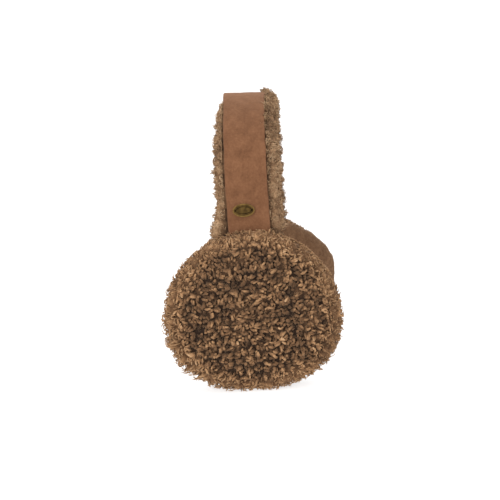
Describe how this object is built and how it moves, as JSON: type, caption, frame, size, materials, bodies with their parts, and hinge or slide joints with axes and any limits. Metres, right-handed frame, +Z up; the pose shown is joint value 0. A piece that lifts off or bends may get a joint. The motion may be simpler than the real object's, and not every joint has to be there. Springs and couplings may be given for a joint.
{
  "type": "fur earmuffs",
  "caption": "Sheepskin earmuffs: a sprung suede headband lined with wool holds a round, curly wool pad over each ear.",
  "frame": {"origin": "on the surface that the pads stand on, midway between the two pads", "axes": "+Z up, +X towards the wearer's left, and the wearer looks along -Y"},
  "size_m": [0.1806, 0.1093, 0.1856],
  "materials": {
    "suede": "reddish-brown suede with a short nap",
    "wool_pile": "curly brown sheepskin wool, lighter at the tips",
    "plush_pile": "short, dense brown plush",
    "aged_brass": "aged brass, darkened in its recess"
  },
  "bodies": {
    "root": {"headband_suede_strip": "suede", "headband_wool_strip": "wool_pile", "left_pad_wool_cover": "wool_pile", "left_pad_plush_cushion": "plush_pile", "right_pad_wool_cover": "wool_pile", "right_pad_plush_cushion": "plush_pile", "badge_plate": "aged_brass"}
  },
  "joints": []
}
